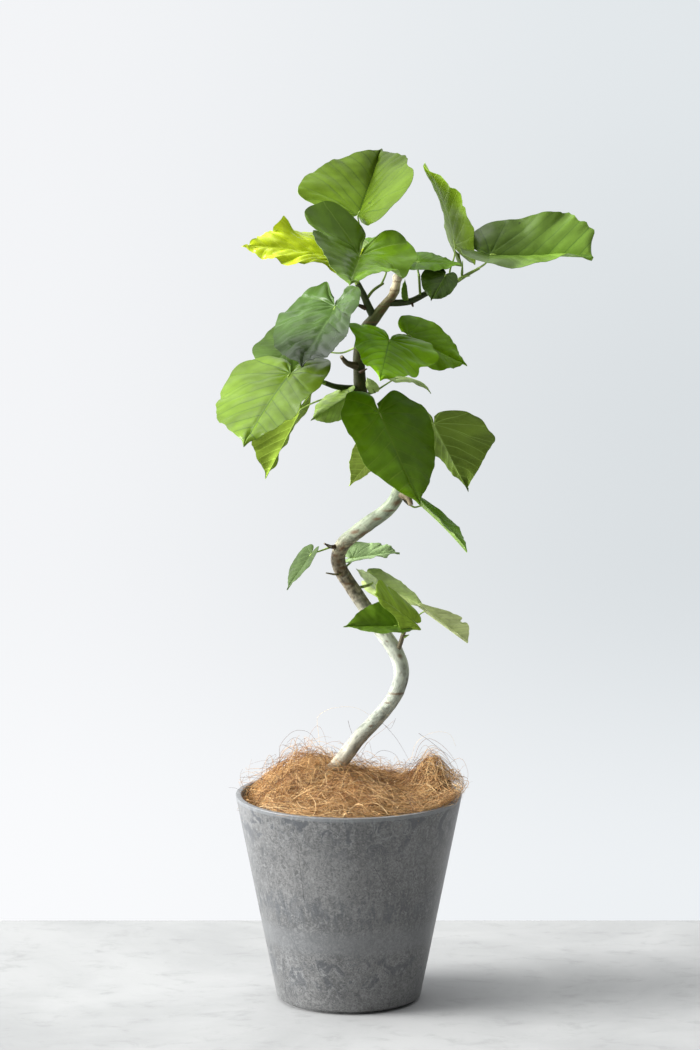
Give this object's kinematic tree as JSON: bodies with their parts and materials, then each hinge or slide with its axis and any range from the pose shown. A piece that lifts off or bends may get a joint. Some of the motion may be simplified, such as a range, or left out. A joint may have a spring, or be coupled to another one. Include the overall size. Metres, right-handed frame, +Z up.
{
  "type": "potted fig tree",
  "caption": "Umbrella-leaf fig with a winding grey-green trunk, broad heart-shaped leaves and coconut-fibre mulch, in a round tapering stone-grey pot",
  "frame": {"origin": "centre of the pot's flat underside, at floor level", "axes": "+Z up along the pot's axis; -Y towards the front of the plant; +X to the right seen from the front"},
  "size_m": [0.457, 0.3494, 1.0449],
  "materials": {
    "pot": "matt marbled stone-grey resin composite",
    "soil": "moist peat potting soil",
    "fibre": "loose golden-brown coconut fibre",
    "bark": "smooth pale grey-green bark with brown ring scars",
    "young_bark": "smooth green bark",
    "leaf": "soft sheen, sunk pale veins"
  },
  "bodies": {
    "root": {"pot": "pot", "soil": "soil", "fibre_mulch": "fibre", "trunk": "bark", "bough_top_left": "young_bark", "bough_right": "young_bark", "bough_left": "young_bark", "foliage_crown": "leaf", "foliage_crown_back": "leaf", "foliage_right": "leaf", "foliage_right_small": "leaf", "foliage_right_bud": "leaf", "foliage_middle": "leaf", "foliage_middle_droop": "leaf", "foliage_left": "leaf", "foliage_left_low": "leaf", "foliage_front": "leaf", "foliage_bend_right": "leaf", "foliage_bend_back": "leaf", "foliage_bend_left": "leaf", "foliage_low_shoot": "leaf", "foliage_low_back": "leaf", "foliage_back": "leaf", "foliage_back_low": "leaf"}
  },
  "joints": []
}
